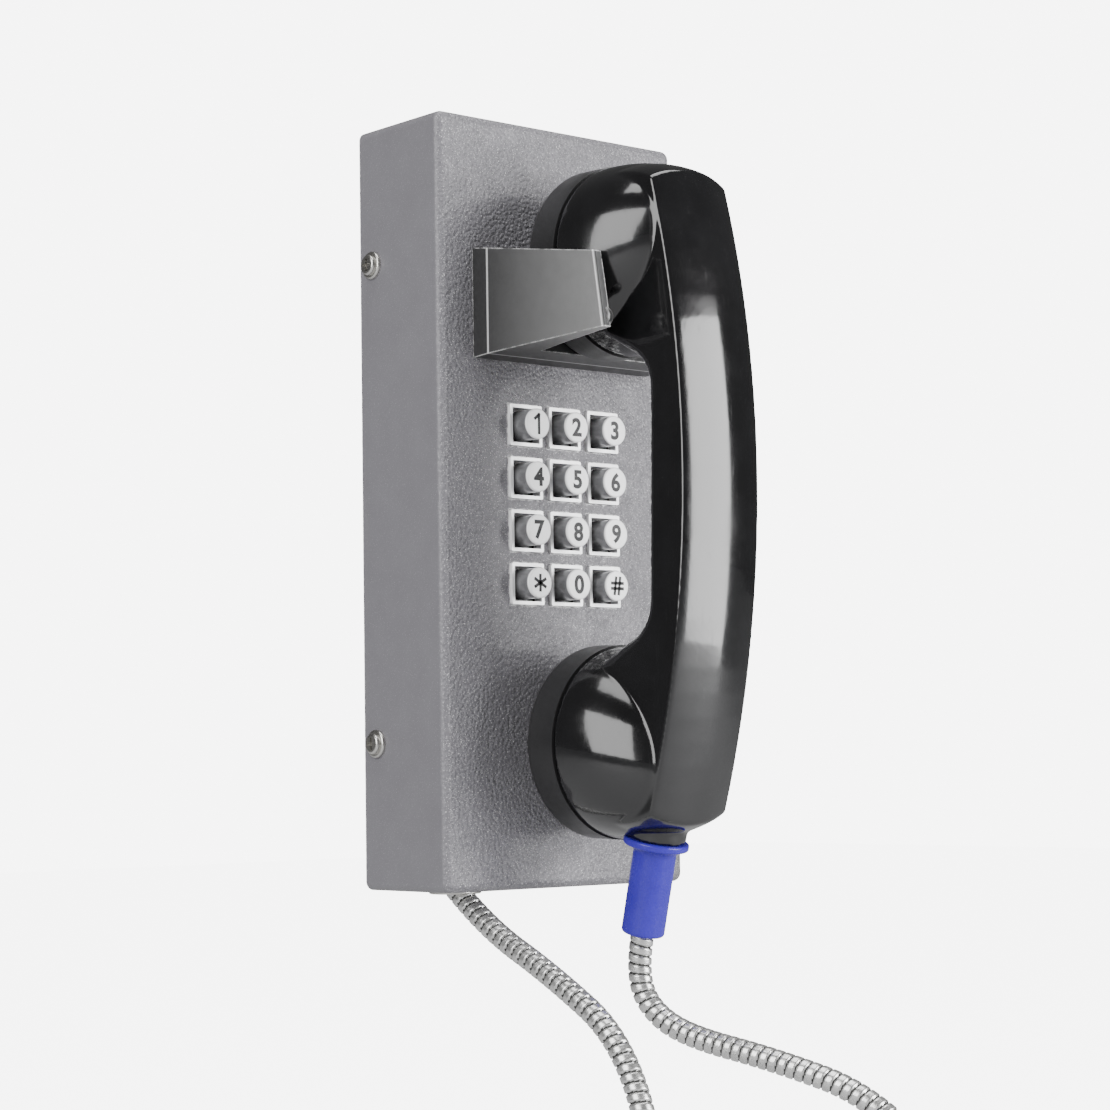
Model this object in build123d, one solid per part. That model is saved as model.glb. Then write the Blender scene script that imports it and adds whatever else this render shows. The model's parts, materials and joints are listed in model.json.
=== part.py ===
"""Mini vandal-proof wall payphone: folded steel housing, die-cast cradle, twelve round keys,
handset on an armoured cord. Millimetres. +X right, +Y into the wall, +Z up.
The origin is the centre of the four wall screws, on the face that meets the wall."""
from build123d import *
import math
import os

# ---- housing
WIDTH, DEPTH, HEIGHT = 102.0, 42.0, 250.0
SHEET = 1.5                      # steel sheet of cover and back plate
BEND_R = 2.6                     # outer radius along the front face
CORNER_R = 3.0                   # outer radius of the four corners
FRONT_Y = -DEPTH                 # outer face of the front panel
INNER_Y = FRONT_Y + SHEET        # inner face of the front panel
INNER_X = WIDTH / 2 - SHEET
INNER_Z = HEIGHT / 2 - SHEET

# ---- back plate, wall screws, line entry
TRAY_GAP = 1.2                   # between the tray's rim and the cover, filled by the seal
TRAY_X = INNER_X - TRAY_GAP
TRAY_Z = INNER_Z - TRAY_GAP
TRAY_RIM = 14.0                  # depth of the tray's rim
SEAL_DEPTH, SEAL_FRONT = 2.6, -13.7
WALL_PITCH_X, WALL_PITCH_Z, WALL_HOLE_R = 60.0, 190.0, 2.75
LINE_Z = 42.0
GROMMET_BORE_R, GROMMET_R, GROMMET_HOLE_R, GROMMET_LIP = 3.5, 8.5, 6.5, 1.8

# ---- side screws
SIDE_SCREW_Z = (79.3, -77.6)
SIDE_SCREW_Y = -6.75
M4_R, M4_CLEAR_R = 2.0, 2.25
CUP_R, CUP_HEIGHT = 4.6, 1.3
SIDE_HEAD_R, SIDE_HEAD_HEIGHT = 3.4, 1.9
INSERT_FLANGE_R, INSERT_BODY_R, INSERT_LENGTH = 4.0, 3.0, 8.0
SIDE_SCREW_LENGTH = 9.0

# ---- cradle
CRADLE_X = 37.4
CRADLE_LOW, CRADLE_HIGH = 45.5, 81.3
CRADLE_BASE = 18.0               # base thickness out from the panel
CRADLE_REACH = 55.0              # lower corners of the horn tips, out from the panel
CRADLE_TIP_LEAN = 3.3            # the tips' upper corners stand this much nearer the panel
CRADLE_SKIRT = 7.0               # straight root before the sides taper
CRADLE_TIP_X = 30.3
CRADLE_TIP_LOW, CRADLE_TIP_HIGH = 49.2, 73.3
# pocket sections: distance from the panel, half width at the cradle's bottom, widening per mm of height
POCKET = ((CRADLE_BASE, 23.5, 0.303), (33.0, 25.2, 0.232), (43.0, 26.0, 0.13), (61.0, 28.0, -0.06))
TIP_WALL, TIP_EDGE_R = 3.0, 1.2
LUG_X, LUG_RY, LUG_RZ = 3.0, 3.2, 3.4
CRADLE_SCREW_X, CRADLE_SCREW_Z = 27.0, (51.5, 75.5)
CRADLE_SCREW_DEPTH = 11.0
PAN_R, PAN_HEIGHT = 3.9, 2.6

# ---- hook lever and its switch
PIVOT_Y, PIVOT_Z, PIVOT_R, PIVOT_CLEARANCE = FRONT_Y - 8.0, 57.0, 1.5, 0.05
PIN_HALF = 9.0
LEVER_HALF, LEVER_SIDE_GAP = 3.5, 0.6
LEVER_TOP, LEVER_NOSE_R = 72.0, 2.0
LEVER_FACE_Y = FRONT_Y - CRADLE_BASE - 0.4
LEVER_ARM_END_Y, LEVER_ARM_LOW, LEVER_ARM_HIGH = -29.0, 55.0, 59.0
SLOT_LOW, SLOT_HIGH = 52.5, 75.0
SWITCH_X, SWITCH_DEPTH, SWITCH_LOW, SWITCH_HIGH = 9.9, 6.4, 43.0, 53.2
BRACKET_T, BRACKET_X, BRACKET_LOW, BRACKET_HIGH = 1.2, 17.0, 38.6, 50.5
BRACKET_STUD_X, BRACKET_STUD_Z, SWITCH_SCREW_X, SWITCH_SCREW_Z = 13.5, 43.0, 4.8, 46.5
SPRING_T, SPRING_HALF, SPRING_Z = 0.4, 2.5, 39.0

# ---- keypad
KEY_PITCH_X, KEY_PITCH_Z, KEYPAD_MID_Z = 16.65, 17.2, -0.85
KEY_NAMES = (("1", "2", "3"), ("4", "5", "6"), ("7", "8", "9"), ("star", "0", "hash"))
COLLAR, COLLAR_BORE, COLLAR_GAP = 13.5, 11.3, 0.1
COLLAR_PROUD = 1.2
FRAME_T, GUIDE_T = 1.0, 1.2
FRAME_X, FRAME_Z = 28.5, 39.0
KEY_R, KEY_GAP, KEY_PROUD = 5.0, 0.2, 6.0
KEY_FLANGE_R, KEY_FLANGE_T, KEY_REST_GAP, KEY_TRAVEL = 6.2, 1.2, 0.3, 1.2
MAT_T, DOME_R, DOME_CLEAR = 1.0, 3.4, 0.3
PCB_T = 1.6
STUD_R, STUD_CLEAR, STUD_X, STUD_Z = 1.5, 0.1, 25.9, 36.2
NUT_R, NUT_T = 3.2, 2.4

# ---- main board
BOARD_X, BOARD_LOW, BOARD_HIGH = 36.0, -80.0, 14.0
STANDOFF, STANDOFF_R = 8.0, 2.8
M3_R, M2_R = 1.5, 1.1

# ---- cord outlet in the bottom
OUTLET_X, OUTLET_Y = -32.0, -22.5
CORD_D = 7.5
CORD_R = CORD_D / 2
BUSHING_R, BUSHING_FLANGE_R, BUSHING_FLANGE_T, BUSHING_TOP = 6.5, 8.5, 1.2, 17.0
BUSHING_BORE_R, BUSHING_NUT_R, BUSHING_NUT_T = 4.4, 8.6, 4.0
COLLET_T = 5.0

# ---- handset, in its own frame: y = 0 is the plane of the caps' faces, z = 0 its middle
HANDSET_Y, HANDSET_Z, HANDSET_TILT = FRONT_Y - 17.5, -1.0, 1.56
CAP_Z, CAP_R, CAP_DEPTH, CAP_WALL, CAP_FACE = 77.0, 31.0, 13.0, 2.4, 2.2
CAP_EDGE_R = 2.2
SEAM = 0.3
SPIGOT_R, SPIGOT_BORE, SPIGOT_LENGTH = 28.4, 25.6, 7.0
GRIP_HALF, GRIP_INNER, GRIP_BACK, BACK_ARC, CROWN = 16.2, 40.4, 56.7, 340.0, 2.8
NECK_Z, NECK_R, NECK_SLOPE = 54.5, 13.0, 14.0
GRIP_STOCK = 70.0                # depth of the bar before its arched back is cut
ENVELOPE_HALF, ENVELOPE_FRONT, ENVELOPE_SWING = 36.0, 5.0, 25.0
INNER_EDGE_R = 3.0
# dome sections: depth from the cap plane, centre along the handset, radius
DOME = ((13.3, 77.0, 30.7), (20.0, 78.0, 29.7), (28.0, 79.6, 27.2), (36.0, 81.4, 23.2), (44.0, 83.2, 16.8),
        (50.0, 84.4, 10.0))
# grip end sections: depth from the cap plane, end height along the handset
GRIP_END = ((18.0, 106.6), (28.0, 106.5), (36.0, 105.2), (44.0, 102.2), (52.0, 97.6))
DOME_WALL = 3.0
CHANNEL_X, CHANNEL_OUT, CHANNEL_IN = 12.0, 53.4, 46.4
HOLE_R, HOLE_RINGS = 1.1, ((0.0, 1), (6.5, 6), (13.0, 12))
CAPSULE_R, CAPSULE_FRONT, CAPSULE_T = 24.6, 4.0, 7.0
PAD_BORE = 18.0

# ---- boot on the handset's lower end
BOOT_Y, BOOT_Z, BOOT_LEAN = -84.2, -109.0, 14.0
BOOT_FLANGE_R, BOOT_FLANGE_T, BOOT_R, BOOT_LENGTH = 10.4, 2.3, 6.85, 30.6
BOSS_R, BOSS_LENGTH = 9.2, 9.0
FERRULE_R, FERRULE_LENGTH = 5.4, 12.0

# ---- armoured cord: a hand-chosen route from the outlet to the boot
CORD_ROUTE = [
    (OUTLET_X, OUTLET_Y, -124.0), (-29.5, -35, -136.5), (-27, -64, -150.5), (-23.5, -93, -169),
    (-24, -108, -205), (-30, -106, -248), (-32, -100, -295), (-18, -104, -338), (14, -128, -356),
    (44, -156, -336), (56, -175, -295), (53, -180, -250), (41, -170, -214), (28, -148, -186),
    (15, -119, -176), (5, -91, -170), (1, -78.3, -162),
]
CORD_LEAD = 12.0                 # straight run below the boot
BEND_SHARE = 0.45                # of the shorter run that an arc's tangent takes


def block(x0, x1, y0, y1, z0, z1):
    """A box given by its limits."""
    middle = Pos((x0 + x1) / 2, (y0 + y1) / 2, (z0 + z1) / 2)
    return middle * Box(abs(x1 - x0), abs(y1 - y0), abs(z1 - z0))


def rod(start, direction, radius, length):
    """A cylinder from a point along a direction."""
    base = Plane(origin=start, z_dir=direction)
    return base * Cylinder(radius, length, align=(Align.CENTER, Align.CENTER, Align.MIN))


def hexagon(start, direction, corner_radius, length):
    """A hexagonal prism from a point along a direction."""
    base = Plane(origin=start, z_dir=direction)
    return extrude(base * RegularPolygon(corner_radius, 6), length)


def group(solids):
    """Several separate solids as one node."""
    return Compound(children=list(solids))


def key_places():
    """Name, x and z of each key."""
    for row, names in enumerate(KEY_NAMES):
        for column, name in enumerate(names):
            yield name, (column - 1) * KEY_PITCH_X, KEYPAD_MID_Z + (1.5 - row) * KEY_PITCH_Z


def stud_places():
    """x and z of the keypad's four studs."""
    return [(sx * STUD_X, KEYPAD_MID_Z + sz * STUD_Z) for sx in (-1, 1) for sz in (-1, 1)]


def side_screw_places():
    """Side (-1 or 1) and z of the four side screws."""
    return [(side, z) for side in (-1, 1) for z in SIDE_SCREW_Z]


def cradle_screw_places():
    return [(sx * CRADLE_SCREW_X, z) for sx in (-1, 1) for z in CRADLE_SCREW_Z]


# ---------------------------------------------------------------- housing
def front_cover():
    """Five-sided folded shell, open towards the wall, with its welded studs."""
    outer = block(-WIDTH / 2, WIDTH / 2, FRONT_Y, 0, -HEIGHT / 2, HEIGHT / 2)
    outer = fillet(outer.edges().filter_by(Axis.Y), CORNER_R)
    outer = fillet(outer.faces().sort_by(Axis.Y)[0].edges(), BEND_R)
    inner = block(-INNER_X, INNER_X, INNER_Y, 1, -INNER_Z, INNER_Z)
    inner = fillet(inner.edges().filter_by(Axis.Y), CORNER_R - SHEET)
    inner = fillet(inner.faces().sort_by(Axis.Y)[0].edges(), BEND_R - SHEET)
    cover = outer - inner
    hole = COLLAR / 2 + COLLAR_GAP
    for _, x, z in key_places():
        cover -= block(x - hole, x + hole, FRONT_Y - 1, INNER_Y + 1, z - hole, z + hole)
    for x, z in cradle_screw_places():
        cover -= rod((x, FRONT_Y - 1, z), (0, 1, 0), M4_CLEAR_R, SHEET + 2)
    slot = LEVER_HALF + LEVER_SIDE_GAP
    cover -= block(-slot, slot, FRONT_Y - 1, INNER_Y + 1, SLOT_LOW, SLOT_HIGH)
    for side, z in side_screw_places():
        cover -= rod((side * (INNER_X - 1), SIDE_SCREW_Y, z), (side, 0, 0), M4_CLEAR_R, SHEET + 2)
    cover -= rod((OUTLET_X, OUTLET_Y, -HEIGHT / 2 - 1), (0, 0, 1), BUSHING_R, SHEET + 2)
    for x, z in stud_places():
        cover += rod((x, INNER_Y, z), (0, 1, 0), STUD_R, keypad_back() - INNER_Y + NUT_T + 1.5)
    for x in (-BRACKET_STUD_X, BRACKET_STUD_X):
        cover += rod((x, INNER_Y, BRACKET_STUD_Z), (0, 1, 0), STUD_R, BRACKET_T + NUT_T + 1)
    return cover


def back_plate():
    """Shallow steel tray that is screwed to the wall and carries the cover and the board."""
    tray = block(-TRAY_X, TRAY_X, -TRAY_RIM, 0, -TRAY_Z, TRAY_Z)
    tray = fillet(tray.edges().filter_by(Axis.Y), CORNER_R)
    well = block(-TRAY_X + SHEET, TRAY_X - SHEET, -TRAY_RIM - 1, -SHEET, -TRAY_Z + SHEET, TRAY_Z - SHEET)
    tray -= fillet(well.edges().filter_by(Axis.Y), CORNER_R - SHEET)
    for sx in (-1, 1):
        for sz in (-1, 1):
            place = (sx * WALL_PITCH_X / 2, -SHEET - 1, sz * WALL_PITCH_Z / 2)
            tray -= rod(place, (0, 1, 0), WALL_HOLE_R, SHEET + 2)
    for side, z in side_screw_places():
        tray -= rod((side * (TRAY_X - SHEET - 1), SIDE_SCREW_Y, z), (side, 0, 0), INSERT_BODY_R, SHEET + 2)
    tray -= rod((0, -SHEET - 1, LINE_Z), (0, 1, 0), GROMMET_HOLE_R, SHEET + 2)
    for x, z in board_screw_places():
        tray += rod((x, -SHEET, z), (0, -1, 0), STANDOFF_R, STANDOFF)
        tray -= rod((x, -SHEET - STANDOFF - 1, z), (0, 1, 0), M3_R, STANDOFF)
    return tray


def cover_seal():
    """Rubber band round the tray's rim."""
    front, back = SEAL_FRONT, SEAL_FRONT + SEAL_DEPTH
    band = block(-INNER_X, INNER_X, front, back, -INNER_Z, INNER_Z)
    band = fillet(band.edges().filter_by(Axis.Y), CORNER_R - SHEET)
    hole = block(-TRAY_X, TRAY_X, front - 1, back + 1, -TRAY_Z, TRAY_Z)
    return band - fillet(hole.edges().filter_by(Axis.Y), CORNER_R)


def cross_recess(start, direction, size=4.2, width=0.95, depth=1.3):
    """The cross that a screwdriver fits, cut down from a head's face."""
    base = Plane(origin=start, z_dir=direction)
    sunk = (Align.CENTER, Align.CENTER, Align.MAX)
    return base * (Box(size, width, depth, align=sunk) + Box(width, size, depth, align=sunk))


def side_screws():
    """Four pan-head screws through the sides into the tray's threaded inserts."""
    screws = []
    for side, z in side_screw_places():
        out = (side, 0, 0)
        seat = side * (WIDTH / 2 + CUP_HEIGHT - 0.5)
        head = rod((seat, SIDE_SCREW_Y, z), out, SIDE_HEAD_R, SIDE_HEAD_HEIGHT)
        crown = head.faces().sort_by(Axis.X)[-1 if side > 0 else 0]
        head = fillet(crown.edges(), 0.9)
        head -= cross_recess((seat + side * SIDE_HEAD_HEIGHT, SIDE_SCREW_Y, z), out)
        shank = rod((seat - side * SIDE_SCREW_LENGTH, SIDE_SCREW_Y, z), out, M4_R, SIDE_SCREW_LENGTH)
        screws.append(head + shank)
    return group(screws)


def screw_cups():
    """Dished washers under the side screws' heads."""
    cups = []
    for side, z in side_screw_places():
        out = (side, 0, 0)
        face = side * WIDTH / 2
        cup = rod((face, SIDE_SCREW_Y, z), out, CUP_R, CUP_HEIGHT)
        rim = cup.faces().sort_by(Axis.X)[-1 if side > 0 else 0]
        cup = fillet(rim.edges(), 0.8)
        cup -= rod((face - side, SIDE_SCREW_Y, z), out, M4_R, CUP_HEIGHT + 2)
        cup -= rod((face + side * (CUP_HEIGHT - 0.5), SIDE_SCREW_Y, z), out, SIDE_HEAD_R, 1)
        cups.append(cup)
    return group(cups)


def threaded_inserts():
    """Rivet nuts in the tray's rim."""
    inserts = []
    for side, z in side_screw_places():
        inward = (-side, 0, 0)
        head = rod((side * (TRAY_X + 0.8), SIDE_SCREW_Y, z), inward, INSERT_FLANGE_R, 0.8)
        body = rod((side * TRAY_X, SIDE_SCREW_Y, z), inward, INSERT_BODY_R, INSERT_LENGTH)
        bore = rod((side * (TRAY_X + 2), SIDE_SCREW_Y, z), inward, M4_R, INSERT_LENGTH + 4)
        inserts.append(head + body - bore)
    return group(inserts)


def line_grommet():
    """Rubber grommet where the telephone line comes through the back plate."""
    start = (0, -SHEET - GROMMET_LIP, LINE_Z)
    body = rod(start, (0, 1, 0), GROMMET_HOLE_R, GROMMET_LIP + SHEET)
    lip = rod(start, (0, 1, 0), GROMMET_R, GROMMET_LIP)
    lip = fillet(lip.edges().sort_by(Axis.Y)[0], 0.7)
    return body + lip - rod((0, -10, LINE_Z), (0, 1, 0), GROMMET_BORE_R, 12)


# ---------------------------------------------------------------- cradle and hook
def cradle():
    """Die-cast fork: a base on the panel and two horns with a tapered pocket between them."""
    tip_y, skirt_y, base_y = FRONT_Y - CRADLE_REACH, FRONT_Y - CRADLE_SKIRT, FRONT_Y - CRADLE_BASE
    side = Polyline((FRONT_Y, CRADLE_LOW), (tip_y, CRADLE_TIP_LOW),
                    (tip_y + CRADLE_TIP_LEAN, CRADLE_TIP_HIGH), (FRONT_Y, CRADLE_HIGH), close=True)
    body = extrude(Plane.YZ * make_face(side), CRADLE_X, both=True)
    half = [(CRADLE_X, FRONT_Y), (CRADLE_X, skirt_y), (CRADLE_TIP_X, tip_y)]
    plan = Polyline(*half, *[(-x, y) for x, y in reversed(half)], close=True)
    body &= extrude(make_face(plan), HEIGHT)
    tips = body.faces().sort_by(Axis.Y)[0].edges()
    body = fillet([e for e in tips if e.bounding_box().size.Z > 1], TIP_EDGE_R)
    body -= pocket()
    for sx in (-1, 1):
        body += horn_lug(sx, tip_y)
    for x, z in cradle_screw_places():
        body -= rod((x, FRONT_Y + 1, z), (0, -1, 0), M4_R, CRADLE_SCREW_DEPTH + 1)
    slot = LEVER_HALF + LEVER_SIDE_GAP
    body -= block(-slot, slot, base_y - 1, FRONT_Y + 1, SLOT_LOW, SLOT_HIGH)
    return body - rod((-PIN_HALF, PIVOT_Y, PIVOT_Z), (1, 0, 0), PIVOT_R, 2 * PIN_HALF)


def pocket():
    """The tapered space between the horns, wider at the top."""
    low, high = CRADLE_LOW - 8, CRADLE_HIGH + 8
    sections = []
    for out, half, widen in POCKET:
        low_x, high_x = half + widen * (low - CRADLE_LOW), half + widen * (high - CRADLE_LOW)
        outline = Polyline((-low_x, low), (low_x, low), (high_x, high), (-high_x, high), close=True)
        sections.append(Plane.XZ.offset(out - FRONT_Y) * make_face(outline))
    return loft(sections, ruled=True)


def horn_lug(sx, tip_y):
    """Rounded lug low on the inside of a horn's tip."""
    ball = Sphere(1)
    wall_x = CRADLE_TIP_X - TIP_WALL
    place = Pos(sx * (wall_x + 0.6), tip_y + LUG_RY - 0.4, CRADLE_TIP_LOW + LUG_RZ)
    lug = place * scale(ball, (LUG_X, LUG_RY, LUG_RZ))
    inside = block(0, sx * (wall_x + 1.0), tip_y - 2, tip_y + 8, CRADLE_TIP_LOW - 1, CRADLE_TIP_HIGH)
    return lug & inside


def cradle_screws():
    """Four screws from inside the housing into the cradle."""
    screws = []
    for x, z in cradle_screw_places():
        head = rod((x, INNER_Y, z), (0, 1, 0), PAN_R, PAN_HEIGHT)
        head = fillet(head.edges().sort_by(Axis.Y)[-1], 1.2)
        head -= cross_recess((x, INNER_Y + PAN_HEIGHT, z), (0, 1, 0))
        screws.append(head + rod((x, INNER_Y, z), (0, -1, 0), M4_R, SHEET + CRADLE_SCREW_DEPTH - 0.5))
    return group(screws)


def hook_lever():
    """Tongue in the cradle's base: the ear cap holds it in, and its arm reaches the switch."""
    tongue = block(-LEVER_HALF, LEVER_HALF, LEVER_FACE_Y, PIVOT_Y + 3, PIVOT_Z - 3, LEVER_TOP)
    tongue = fillet(tongue.edges().filter_by(Axis.X).group_by(Axis.Z)[-1], LEVER_NOSE_R)
    relief = block(-LEVER_HALF - 1, LEVER_HALF + 1, LEVER_FACE_Y + 4, PIVOT_Y + 4, PIVOT_Z + 4, LEVER_TOP + 1)
    arm = block(-LEVER_HALF, LEVER_HALF, PIVOT_Y, LEVER_ARM_END_Y, LEVER_ARM_LOW, LEVER_ARM_HIGH)
    arm = fillet(arm.edges().filter_by(Axis.X).group_by(Axis.Y)[-1], 1.5)
    lever = tongue - relief + arm
    return lever - rod((-PIN_HALF, PIVOT_Y, PIVOT_Z), (1, 0, 0), PIVOT_R + PIVOT_CLEARANCE, 2 * PIN_HALF)


def lever_pin():
    return rod((-PIN_HALF, PIVOT_Y, PIVOT_Z), (1, 0, 0), PIVOT_R, 2 * PIN_HALF)


def lever_spring():
    """Leaf spring from the bracket to the underside of the lever's arm."""
    foot_y, bend_y, tip_y = INNER_Y + BRACKET_T, -31.4, -30.2
    foot = block(-SPRING_HALF, SPRING_HALF, foot_y, bend_y, SPRING_Z, SPRING_Z + SPRING_T)
    outline = Polyline((bend_y, SPRING_Z), (bend_y + SPRING_T, SPRING_Z), (tip_y + SPRING_T, LEVER_ARM_LOW),
                       (tip_y, LEVER_ARM_LOW), (bend_y, SPRING_Z + SPRING_T), close=True)
    return foot + extrude(Plane.YZ * make_face(outline), SPRING_HALF, both=True)


def hook_microswitch():
    """Snap-action switch below the lever's arm, with its plunger and three tabs."""
    front = INNER_Y + BRACKET_T
    body = block(-SWITCH_X, SWITCH_X, front, front + SWITCH_DEPTH, SWITCH_LOW, SWITCH_HIGH)
    body = fillet(body.edges().filter_by(Axis.Y), 0.8)
    mid = front + SWITCH_DEPTH / 2
    body += rod((0, mid, SWITCH_HIGH), (0, 0, 1), 1.1, LEVER_ARM_LOW - SWITCH_HIGH)
    for x in (-7.5, 0, 7.5):
        body += block(x - 1.2, x + 1.2, mid - 0.3, mid + 0.3, SWITCH_LOW - 3.0, SWITCH_LOW)
    for x in (-SWITCH_SCREW_X, SWITCH_SCREW_X):
        body -= rod((x, front - 1, SWITCH_SCREW_Z), (0, 1, 0), M2_R, SWITCH_DEPTH + 2)
    return body


def switch_bracket():
    """Plate on the back of the panel that holds the switch."""
    plate = block(-BRACKET_X, BRACKET_X, INNER_Y, INNER_Y + BRACKET_T, BRACKET_LOW, BRACKET_HIGH)
    plate = fillet(plate.edges().filter_by(Axis.Y), 2.0)
    for x in (-BRACKET_STUD_X, BRACKET_STUD_X):
        plate -= rod((x, INNER_Y - 1, BRACKET_STUD_Z), (0, 1, 0), STUD_R + STUD_CLEAR, BRACKET_T + 2)
    for x in (-SWITCH_SCREW_X, SWITCH_SCREW_X):
        plate -= rod((x, INNER_Y - 1, SWITCH_SCREW_Z), (0, 1, 0), M2_R, BRACKET_T + 2)
    return plate


def bracket_nuts():
    places = [(x, INNER_Y + BRACKET_T, BRACKET_STUD_Z) for x in (-BRACKET_STUD_X, BRACKET_STUD_X)]
    return group(hexagon(p, (0, 1, 0), 3.0, NUT_T) - rod(p, (0, 1, 0), STUD_R, NUT_T) for p in places)


def switch_screws():
    screws = []
    for x in (-SWITCH_SCREW_X, SWITCH_SCREW_X):
        seat = (x, INNER_Y + BRACKET_T + SWITCH_DEPTH, SWITCH_SCREW_Z)
        head = fillet(rod(seat, (0, 1, 0), 2.0, 1.4).edges().sort_by(Axis.Y)[-1], 0.6)
        screws.append(head + rod(seat, (0, -1, 0), M2_R, SWITCH_DEPTH + BRACKET_T))
    return group(screws)


# ---------------------------------------------------------------- keypad
def guide_back():
    """y of the guide plate's rear face."""
    return INNER_Y + FRAME_T + GUIDE_T


def key_back():
    """y of a key's rear face at rest."""
    return guide_back() + KEY_REST_GAP + KEY_FLANGE_T


def mat_front():
    """y of the mat's sheet, in front of the keypad's board."""
    return key_back() + KEY_TRAVEL + DOME_CLEAR + 1.3


def keypad_back():
    """y of the keypad board's rear face."""
    return mat_front() + MAT_T + PCB_T


def stud_holes(y0, y1):
    """Clearance holes for the four studs."""
    return [rod((x, y0 - 1, z), (0, 1, 0), STUD_R + STUD_CLEAR, y1 - y0 + 2) for x, z in stud_places()]


def keypad_plate(y0, y1):
    """A plate of the keypad's outline, with the stud holes."""
    low, high = KEYPAD_MID_Z - FRAME_Z, KEYPAD_MID_Z + FRAME_Z
    plate = block(-FRAME_X, FRAME_X, y0, y1, low, high)
    plate = fillet(plate.edges().filter_by(Axis.Y), 2.0)
    for hole in stud_holes(y0, y1):
        plate -= hole
    return plate


def keypad_frame():
    """Plated frame behind the panel, with a square collar through it round each key."""
    frame = keypad_plate(INNER_Y, INNER_Y + FRAME_T)
    proud = FRONT_Y - COLLAR_PROUD
    outer, bore = COLLAR / 2, COLLAR_BORE / 2
    for _, x, z in key_places():
        collar = block(x - outer, x + outer, proud, INNER_Y, z - outer, z + outer)
        frame += fillet(collar.edges().filter_by(Axis.Y), 0.6)
    for _, x, z in key_places():
        frame -= block(x - bore, x + bore, proud - 1, INNER_Y + FRAME_T + 1, z - bore, z + bore)
    return frame


def key_guide():
    """Dark plate under the frame, with the round holes that guide the keys."""
    guide = keypad_plate(INNER_Y + FRAME_T, guide_back())
    for _, x, z in key_places():
        guide -= rod((x, INNER_Y, z), (0, 1, 0), KEY_R + KEY_GAP, 6)
    return guide


def key(x, z):
    """A round button with the flange that keeps it behind the guide."""
    face = FRONT_Y - COLLAR_PROUD - KEY_PROUD
    button = rod((x, face, z), (0, 1, 0), KEY_R, key_back() - face)
    button = fillet(button.edges().sort_by(Axis.Y)[0], 0.5)
    return button + rod((x, key_back() - KEY_FLANGE_T, z), (0, 1, 0), KEY_FLANGE_R, KEY_FLANGE_T)


def key_mat():
    """Silicone sheet with a dome behind each key."""
    mat = keypad_plate(mat_front(), mat_front() + MAT_T)
    tall = mat_front() - (key_back() + KEY_TRAVEL + DOME_CLEAR)
    for _, x, z in key_places():
        mat += rod((x, mat_front(), z), (0, -1, 0), DOME_R, tall)
    return mat


def keypad_spacers():
    """Sleeves on the studs between the guide and the mat."""
    y0, y1 = guide_back(), mat_front()
    sleeves = []
    for x, z in stud_places():
        sleeve = rod((x, y0, z), (0, 1, 0), 2.5, y1 - y0)
        sleeves.append(sleeve - rod((x, y0, z), (0, 1, 0), STUD_R + STUD_CLEAR, y1 - y0))
    return group(sleeves)


def keypad_board():
    return keypad_plate(mat_front() + MAT_T, keypad_back())


def keypad_nuts():
    places = [(x, keypad_back(), z) for x, z in stud_places()]
    return group(hexagon(p, (0, 1, 0), NUT_R, NUT_T) - rod(p, (0, 1, 0), STUD_R, NUT_T) for p in places)


# ---------------------------------------------------------------- electronics
def board_screw_places():
    inset = 4.0
    return [(sx * (BOARD_X - inset), z) for sx in (-1, 1) for z in (BOARD_LOW + inset, BOARD_HIGH - inset)]


def board_face():
    """y of the main board's component side."""
    return -SHEET - STANDOFF - PCB_T


def main_board():
    board = block(-BOARD_X, BOARD_X, board_face(), board_face() + PCB_T, BOARD_LOW, BOARD_HIGH)
    board = fillet(board.edges().filter_by(Axis.Y), 1.5)
    for x, z in board_screw_places():
        board -= rod((x, board_face() - 1, z), (0, 1, 0), M3_R + STUD_CLEAR, PCB_T + 2)
    return board


def board_screws():
    screws = []
    for x, z in board_screw_places():
        head = rod((x, board_face(), z), (0, -1, 0), 2.8, 2.0)
        head = fillet(head.edges().sort_by(Axis.Y)[0], 0.8)
        head -= cross_recess((x, board_face() - 2.0, z), (0, -1, 0), 3.2, 0.8, 1.0)
        screws.append(head + rod((x, board_face(), z), (0, 1, 0), M3_R, PCB_T + 5))
    return group(screws)


def board_parts():
    """Line transformer, relay, bridge, two capacitors and three connectors on the main board."""
    face = board_face()
    boxes = [(-30, -10, 11, -50, -30), (17, 31, 9, -52, -34), (20, 30, 4, -28, -18), (-26, -6, 6, -16, -10),
             (18, 32, 6, -72, -66), (-5, 13, 5, -64, -58)]
    parts = [fillet(block(x0, x1, face - tall, face, z0, z1).edges().filter_by(Axis.Y), 0.6)
             for x0, x1, tall, z0, z1 in boxes]
    for x, z in ((8, -18), (-18, -64)):
        can = rod((x, face, z), (0, -1, 0), 4.0, 10.5)
        parts.append(fillet(can.edges().sort_by(Axis.Y)[0], 0.8))
    return group(parts)


def terminal_block():
    """Screw terminals for the incoming line, at the board's top edge."""
    face, tall = board_face(), 9.0
    body = block(-12, 12, face - tall, face, 1, 10)
    for x in (-9, -3, 3, 9):
        body -= rod((x, face - tall - 1, 5.5), (0, 1, 0), 1.9, 5)
        body -= block(x - 1.6, x + 1.6, face - 5.2, face - 1.6, 6.5, 11)
    return body


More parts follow.
